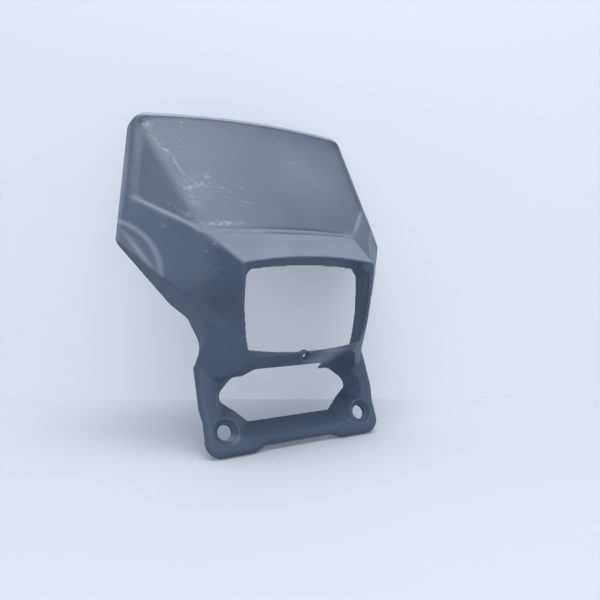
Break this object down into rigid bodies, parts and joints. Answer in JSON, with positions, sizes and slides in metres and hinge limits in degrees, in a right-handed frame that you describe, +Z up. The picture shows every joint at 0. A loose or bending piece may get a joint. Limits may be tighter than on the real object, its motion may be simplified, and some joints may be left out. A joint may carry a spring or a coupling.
{
  "type": "headlight cowl",
  "caption": "Moulded motorbike headlight cowl: sloping panel with a recess, hooded rectangular lamp opening, and a lower frame with an opening between its mounting holes.",
  "frame": {"origin": "midway between the centres of the mounting holes, on the rim plane behind the lower frame", "axes": "+X to the right as seen from the front, +Y rearward towards the bike, +Z up"},
  "size_m": [0.3366, 0.1779, 0.3692],
  "materials": {
    "cowl_plastic": "satin"
  },
  "bodies": {
    "root": {"headlight_cowl": "cowl_plastic"}
  },
  "joints": []
}
